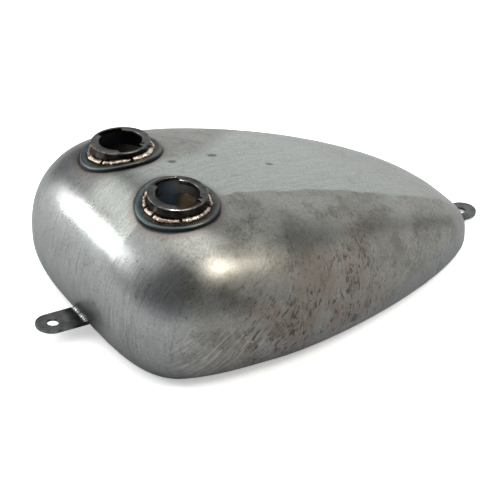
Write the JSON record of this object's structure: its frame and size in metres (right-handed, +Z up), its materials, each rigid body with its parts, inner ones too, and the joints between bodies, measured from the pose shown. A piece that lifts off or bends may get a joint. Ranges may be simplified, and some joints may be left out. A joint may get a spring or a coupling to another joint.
{
  "type": "motorcycle fuel tank",
  "caption": "One-piece teardrop motorcycle fuel tank of bare welded steel with twin bayonet filler necks, a frame channel underneath and a bolt-down tab at each end.",
  "frame": {"origin": "on the flat base, under the middle of the tank's full length with its tabs and on its centre line", "axes": "+X runs from the nose to the tail, +Y to the rider's right, +Z up from the base the tank rests on"},
  "size_m": [0.5432, 0.3392, 0.1728],
  "materials": {
    "bare_sheet_steel": "bare deep-drawn sheet, brushed and lightly mottled with rust",
    "ground_weld_steel": "weld ground flush, bright brushed",
    "floor_sheet_steel": "bare sheet, light oil film",
    "filler_brass": "brazing rod, partly scaled",
    "blued_neck_steel": "oxidised dark blue-black with a worn bright lip",
    "heat_tinted_saddle_steel": "heat tinted from brazing",
    "mill_scale_tab_steel": "grey mill scale",
    "turned_bung_steel": "turned",
    "weld_bead_steel": "as welded, rippled"
  },
  "bodies": {
    "root": {"left_shell_half": "bare_sheet_steel", "right_shell_half": "bare_sheet_steel", "centre_seam_weld": "ground_weld_steel", "frame_channel": "floor_sheet_steel", "left_floor_pan": "floor_sheet_steel", "right_floor_pan": "floor_sheet_steel", "left_floor_weld": "weld_bead_steel", "right_floor_weld": "weld_bead_steel", "left_channel_weld": "weld_bead_steel", "right_channel_weld": "weld_bead_steel", "petcock_bung": "turned_bung_steel", "petcock_bung_weld": "weld_bead_steel", "left_filler_neck": "blued_neck_steel", "right_filler_neck": "blued_neck_steel", "left_filler_saddle": "heat_tinted_saddle_steel", "right_filler_saddle": "heat_tinted_saddle_steel", "left_filler_braze": "filler_brass", "right_filler_braze": "filler_brass", "front_mount_tab": "mill_scale_tab_steel", "rear_mount_tab": "mill_scale_tab_steel", "front_tab_weld": "weld_bead_steel", "rear_tab_weld": "weld_bead_steel"}
  },
  "joints": []
}
